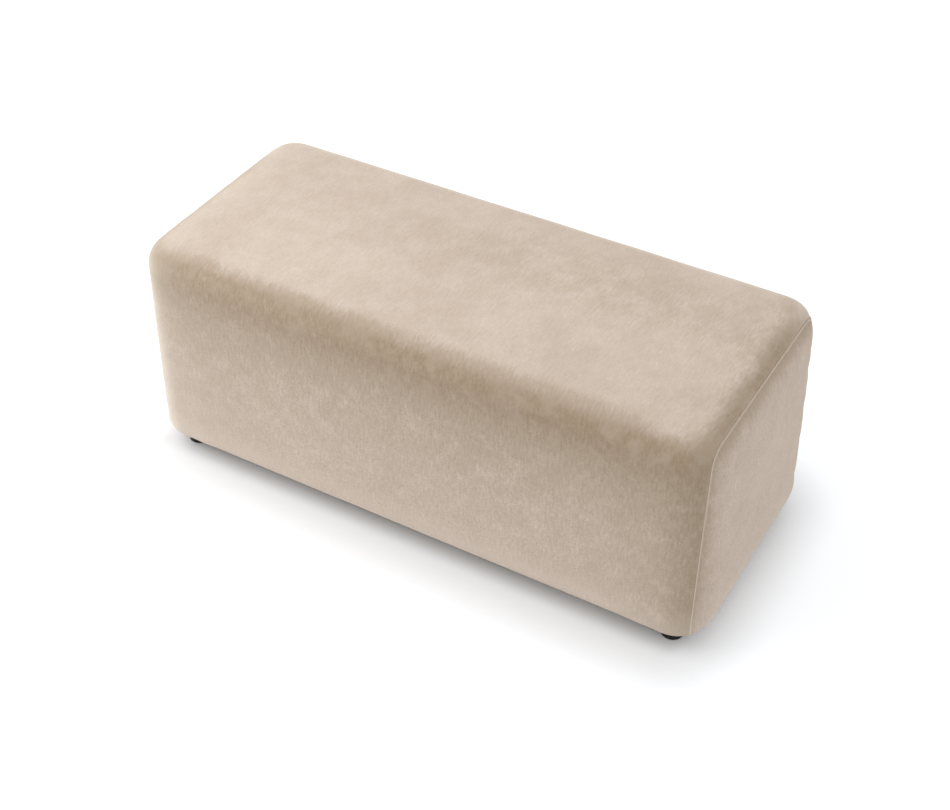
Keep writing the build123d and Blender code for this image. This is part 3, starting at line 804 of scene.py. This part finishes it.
foamMaterial = makeFoamMaterial()
foamForm = bpy.data.meshes.new("foamForm")
bm = makeForm(padding["foamInset"], padding["foamGrid"])
bm.to_mesh(foamForm)
bm.free()
foam = dict(
    foamTop=("foam_top", ((2, foamSeat, -1),)),
    foamFront=("foam_front", ((2, foamSeat, 1), (1, -cladY, 1), (0, -cladX, -1), (0, cladX, 1))),
    foamBack=("foam_back", ((2, foamSeat, 1), (1, cladY, -1), (0, -cladX, -1), (0, cladX, 1))),
    foamEndLeft=("foam_end_left", ((2, foamSeat, 1), (0, -cladX, 1))),
    foamEndRight=("foam_end_right", ((2, foamSeat, 1), (0, cladX, -1))),
)
for name, (node, cuts) in foam.items():
    slab = finishMesh(cutSlab(foamForm, cuts), name, foamMaterial, smooth=False)
    placeOn(slab, "foam", node)
print("wadding and foam built")


# Felt over the straps, and the black cloth stapled under the frame

felt = dict(
    color=(152, 148, 142),
    fleck=(104, 102, 100),
    cell=0.012,
    sag=0.0006,              # between the straps
    strapPitch=0.130,
    strapHalf=0.030,
    middleGap=(0.015, 0.045),    # from the middle to the long straps
)
dustCloth = dict(
    color=(34, 34, 36),
    thread=(52, 52, 54),
    cell=0.008,
    thickness=0.0005,
    fold=0.015,
    sag=0.0011,
    pull=0.0004,             # scallops between the staples
    pullReach=0.025,
    staplePitch=0.090,
    wave=0.0002,
    waveScale=22.0,
)


def makeFeltMaterial():
    sheet = NodeSheet("needledFelt")
    place = sheet.place()
    hairs = sheet.noise(sheet.stretch(place, (1.0, 0.4, 1.0)), 900.0, 3.0, 0.7)
    flecks = sheet.noise(place, 260.0, 2.0, 0.6)
    tone = sheet.mix(sheet.range(flecks, 0.55, 0.68),
                     pickedColor(*felt["color"]), pickedColor(*felt["fleck"]))
    return sheet.shade(tone, sheet.bump(hairs, 0.6, 0.0008), rough=1.0, specular=0.1)


def makeDustMaterial():
    sheet = NodeSheet("blackDustCloth")
    place = sheet.place()
    bonds = sheet.add("ShaderNodeTexVoronoi", None, {"Vector": place, "Scale": 900.0}).outputs["Distance"]
    fibres = sheet.noise(place, 420.0, 4.0, 0.7)
    tone = sheet.mix(sheet.range(fibres, 0.4, 0.7),
                     pickedColor(*dustCloth["color"]), pickedColor(*dustCloth["thread"]))
    return sheet.shade(tone, sheet.bump(bonds, 0.4, 0.0003), rough=0.9, specular=0.2)


def flatGrid(halfX, halfY, level, cell):
    bm = bmesh.new()
    columns, rows = round(2 * halfX / cell), round(2 * halfY / cell)
    bmesh.ops.create_grid(bm, x_segments=columns, y_segments=rows, size=1.0)
    bmesh.ops.scale(bm, vec=(halfX, halfY, 1.0), verts=bm.verts)
    bmesh.ops.translate(bm, vec=(0.0, 0.0, level), verts=bm.verts)
    return bm


def makeFelt():
    low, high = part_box("underlay_felt")
    bm = flatGrid(high.x, high.y, high.z, felt["cell"])
    for vert in bm.verts:
        offStrap = abs((vert.co.x + felt["strapPitch"] / 2) % felt["strapPitch"] - felt["strapPitch"] / 2)
        gapX = smoothStep(felt["strapHalf"], felt["strapPitch"] / 2, offStrap)
        gapY = 1.0 - smoothStep(*felt["middleGap"], abs(vert.co.y))
        vert.co.z -= felt["sag"] * gapX * gapY * (1.0 + 0.5 * noise.noise(vert.co * 40.0))
    return bm, high.z - low.z


def makeDustCloth():
    low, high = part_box("dust_cover")
    bm = flatGrid(high.x, high.y, low.z, dustCloth["cell"])
    bmesh.ops.reverse_faces(bm, faces=bm.faces)
    for vert in bm.verts:
        place = vert.co
        inX, inY = high.x - abs(place.x), high.y - abs(place.y)
        hollow = (1.0 - (place.x / high.x) ** 4) * (1.0 - (place.y / high.y) ** 2)
        walked = place.x if inY < inX else place.y
        slack = 0.5 - 0.5 * math.cos(math.tau * walked / dustCloth["staplePitch"])
        pull = dustCloth["pull"] * slack * math.exp(-min(inX, inY) / dustCloth["pullReach"])
        wave = dustCloth["wave"] * hollow * noise.noise(place * dustCloth["waveScale"])
        place.z -= dustCloth["sag"] * hollow + pull + wave
    border = [edge for edge in bm.edges if edge.is_boundary]
    for rise, inward in ((high.z - low.z, 0.0), (0.0, dustCloth["fold"])):
        grown = bmesh.ops.extrude_edge_only(bm, edges=border)["geom"]
        border = [item for item in grown if isinstance(item, bmesh.types.BMEdge) and item.is_boundary]
        for vert in [item for item in grown if isinstance(item, bmesh.types.BMVert)]:
            if inward:
                vert.co.x -= math.copysign(inward, vert.co.x) if high.x - abs(vert.co.x) < 0.0005 else 0.0
                vert.co.y -= math.copysign(inward, vert.co.y) if high.y - abs(vert.co.y) < 0.0005 else 0.0
            vert.co.z = high.z if inward else vert.co.z + rise
    bmesh.ops.recalc_face_normals(bm, faces=bm.faces)
    return bm


bm, feltThickness = makeFelt()
underlay = addThickness(finishMesh(bm, "underlayFelt", makeFeltMaterial()), feltThickness)
placeOn(underlay, "felt", "underlay_felt")

dustSheet = finishMesh(makeDustCloth(), "dustCover", makeDustMaterial())
addThickness(dustSheet, dustCloth["thickness"])
placeOn(dustSheet, "dust_cloth", "dust_cover")
print("felt and dust cover built")


# Finishes of the frame, its straps, fixings and glides

finishes = dict(
    timber=((222, 190, 142), (196, 156, 106), (176, 136, 88)),
    dowel=((226, 198, 158), (206, 172, 128)),
    hardboard=((128, 92, 62), (104, 72, 46)),
    strap=((222, 216, 204), (150, 142, 130)),
    wire=(186, 186, 184),
    screw=(172, 170, 164),
    stain=(122, 120, 116),       # on wire and screws
    glide=((9, 9, 10), (18, 18, 20)),
)


def makeTimber(name, axis, tones):
    # Grain runs along the piece: 0, 1 or 2 for X, Y or Z
    sheet = NodeSheet(name)
    scale = [1.0, 1.0, 1.0]
    scale[axis] = 0.045
    place = sheet.stretch(sheet.place(), scale)
    rings = sheet.noise(place, 70.0, 3.0, 0.55)
    pores = sheet.noise(place, 1100.0, 2.0, 0.6)
    tone = sheet.mix(sheet.range(rings, 0.35, 0.65), pickedColor(*tones[0]), pickedColor(*tones[1]))
    tone = sheet.mix(sheet.range(pores, 0.55, 0.75, 0.0, 0.5), tone, pickedColor(*tones[-1]))
    normal = sheet.bump(pores, 0.35, 0.0003, sheet.bump(rings, 0.25, 0.0006))
    return sheet.shade(tone, normal, rough=sheet.range(rings, 0.3, 0.7, 0.55, 0.75), specular=0.3)


def makeHardboard():
    sheet = NodeSheet("hardboard")
    place = sheet.place()
    chips = sheet.noise(place, 240.0, 4.0, 0.7)
    pale, dark = finishes["hardboard"]
    tone = sheet.mix(sheet.range(chips, 0.35, 0.65), pickedColor(*pale), pickedColor(*dark))
    return sheet.shade(tone, sheet.bump(chips, 0.25, 0.0004), rough=0.55, specular=0.3)


def makeStrap():
    sheet = NodeSheet("elasticStrap")
    axes = sheet.add("ShaderNodeSeparateXYZ", None, {"Vector": sheet.place()}).outputs
    waves = [sheet.math("SINE", sheet.math("MULTIPLY", axes[axis], 2100.0)) for axis in (0, 1)]
    weave = sheet.math("MULTIPLY", waves[0], waves[1])
    fuzz = sheet.noise(sheet.place(), 700.0, 2.0, 0.6)
    pale, dark = finishes["strap"]
    tone = sheet.mix(sheet.range(weave, -0.6, 0.6), pickedColor(*pale), pickedColor(*dark))
    tone = sheet.mix(sheet.range(fuzz, 0.4, 0.8, 0.0, 0.3), tone, pickedColor(*dark))
    return sheet.shade(tone, sheet.bump(weave, 0.5, 0.0004), rough=0.8, specular=0.2)


def makeMetal(name, tone, rough):
    sheet = NodeSheet(name)
    place = sheet.place()
    stains = sheet.noise(place, 180.0, 3.0, 0.6)
    spots = sheet.range(stains, 0.35, 0.7, 0.0, 0.5)
    shade = sheet.mix(spots, pickedColor(*tone), pickedColor(*finishes["stain"]))
    normal = sheet.bump(sheet.noise(place, 1500.0, 2.0, 0.5), 0.15, 0.0001)
    return sheet.shade(shade, normal, rough=sheet.range(stains, 0.3, 0.7, rough, rough + 0.2), metal=1.0)


def makeGlide():
    sheet = NodeSheet("glidePlastic")
    place = sheet.place()
    grain = sheet.noise(place, 1400.0, 2.0, 0.5)
    scuffs = sheet.noise(place, 160.0, 4.0, 0.7)
    plain, scuffed = finishes["glide"]
    tone = sheet.mix(sheet.range(scuffs, 0.5, 0.75), pickedColor(*plain), pickedColor(*scuffed))
    rough = sheet.range(scuffs, 0.4, 0.7, 0.4, 0.62)
    return sheet.shade(tone, sheet.bump(grain, 0.2, 0.0002), rough, specular=0.3)


timbers = [makeTimber("pineAlong" + "XYZ"[axis], axis, finishes["timber"]) for axis in range(3)]
finishOf = dict(
    hardboard=makeHardboard(),
    webbing=makeStrap(),
    staple_wire=makeMetal("stapleWire", finishes["wire"], 0.3),
    screw_steel=makeMetal("screwSteel", finishes["screw"], 0.28),
    glide_plastic=makeGlide(),
)
dowelMaterial = makeTimber("beechDowel", 0, finishes["dowel"])
for name, node in nodes.items():
    low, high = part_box(name)
    spread = high - low
    for place in node.material_slots:
        kind = place.material.name.split(".")[0] if place.material else ""
        if name == "frame_dowels":
            place.material = dowelMaterial
        elif kind == "timber":
            place.material = timbers[max(range(3), key=lambda axis: spread[axis])]
        elif kind in finishOf:
            place.material = finishOf[kind]
print("frame and fixings finished")


# Pale floor with painted light that is weaker beside the bench, soft light and the camera

studio = dict(
    floorColor=(242, 243, 245),
    floorLift=(0.098, 0.26),     # painted light: beside the bench, and what is added further off
    shadowEdge=0.03,
    floorReach=0.16,
    liftColor=(0.88, 0.95, 1.0),     # evens out the light that the cover throws back
    shadowShift=(-0.02, -0.015),
    worldColor=(1.0, 1.0, 1.0),
    worldStrength=0.84,
    lamps=dict(
        softKey=dict(power=11.0, size=1.8, place=(-1.0, -0.8, 1.8)),
        softSide=dict(power=3.5, size=1.2, place=(-1.75, -0.45, 0.8)),
    ),
    cameraPlace=(1.11351, -1.89047, 2.00917),
    cameraRight=(0.864310, 0.502945, -0.003687),
    cameraUp=(-0.322714, 0.560176, 0.762927),
    cameraBack=(0.385776, -0.658216, 0.646474),
    lens=61.10,
    sensor=36.0,
)


def makeFloor():
    sheet = NodeSheet("studioFloor")
    sheet.shade(pickedColor(*studio["floorColor"]), rough=1.0, specular=0.0)
    sheet.shader.inputs["Emission Color"].default_value = (*studio["liftColor"], 1.0)
    paths = sheet.add("ShaderNodeLightPath").outputs
    mirrored = sheet.math("MAXIMUM", paths["Is Glossy Ray"], paths["Is Transmission Ray"])
    seen = sheet.math("MAXIMUM", paths["Is Camera Ray"], mirrored)
    axes = sheet.add("ShaderNodeSeparateXYZ", None, {"Vector": sheet.place()}).outputs
    sides = []
    for axis, half in ((0, body["length"] / 2), (1, body["depth"] / 2)):
        away = sheet.math("ABSOLUTE", sheet.math("SUBTRACT", axes[axis], studio["shadowShift"][axis]))
        outside = sheet.math("MAXIMUM", sheet.math("SUBTRACT", away, half - studio["shadowEdge"]), 0.0)
        sides.append(sheet.math("MULTIPLY", outside, outside))
    distance = sheet.math("SQRT", sheet.math("ADD", *sides))
    # Painted light for camera and mirror rays, growing with distance from the bench's footprint shifted to
    # the front and right, so the floor beside the bench keeps a painted shadow
    edge, reach = studio["shadowEdge"], studio["floorReach"]
    near = sheet.range(distance, 0.0, edge, 0.0, studio["floorLift"][0], kind="SMOOTHSTEP")
    far = sheet.range(distance, edge, reach, 0.0, studio["floorLift"][1], kind="SMOOTHSTEP")
    lift = sheet.math("ADD", near, far)
    sheet.put(sheet.shader.inputs["Emission Strength"], sheet.math("MULTIPLY", seen, lift))
    bm = bmesh.new()
    bmesh.ops.create_grid(bm, x_segments=4, y_segments=4, size=9.0)
    finishMesh(bm, "studioFloor", sheet.material, smooth=False)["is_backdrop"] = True


def makeLight():
    world = bpy.data.worlds.new("softRoom")
    scene.world = world
    world.use_nodes = True
    ground = world.node_tree.nodes["Background"]
    ground.inputs["Color"].default_value = (*studio["worldColor"], 1.0)
    ground.inputs["Strength"].default_value = studio["worldStrength"]
    for name, facts in studio["lamps"].items():
        light = bpy.data.lights.new(name, "AREA")
        light.shape = "DISK"
        light.size = facts["size"]
        light.energy = facts["power"]
        lamp = bpy.data.objects.new(name, light)
        lamp.location = facts["place"]
        aim = Vector((0.0, 0.0, bodyMiddle)) - Vector(facts["place"])
        lamp.rotation_euler = aim.to_track_quat("-Z", "Y").to_euler()
        scene.collection.objects.link(lamp)


def makeCamera():
    view = bpy.data.cameras.new("benchCamera")
    view.lens = studio["lens"]
    view.sensor_width = studio["sensor"]
    camera = bpy.data.objects.new("benchCamera", view)
    turn = Matrix((studio["cameraRight"], studio["cameraUp"], studio["cameraBack"])).transposed()
    camera.matrix_world = Matrix.Translation(studio["cameraPlace"]) @ turn.to_4x4()
    scene.collection.objects.link(camera)
    scene.camera = camera


makeFloor()
makeLight()
makeCamera()
print("studio ready")

low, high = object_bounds()
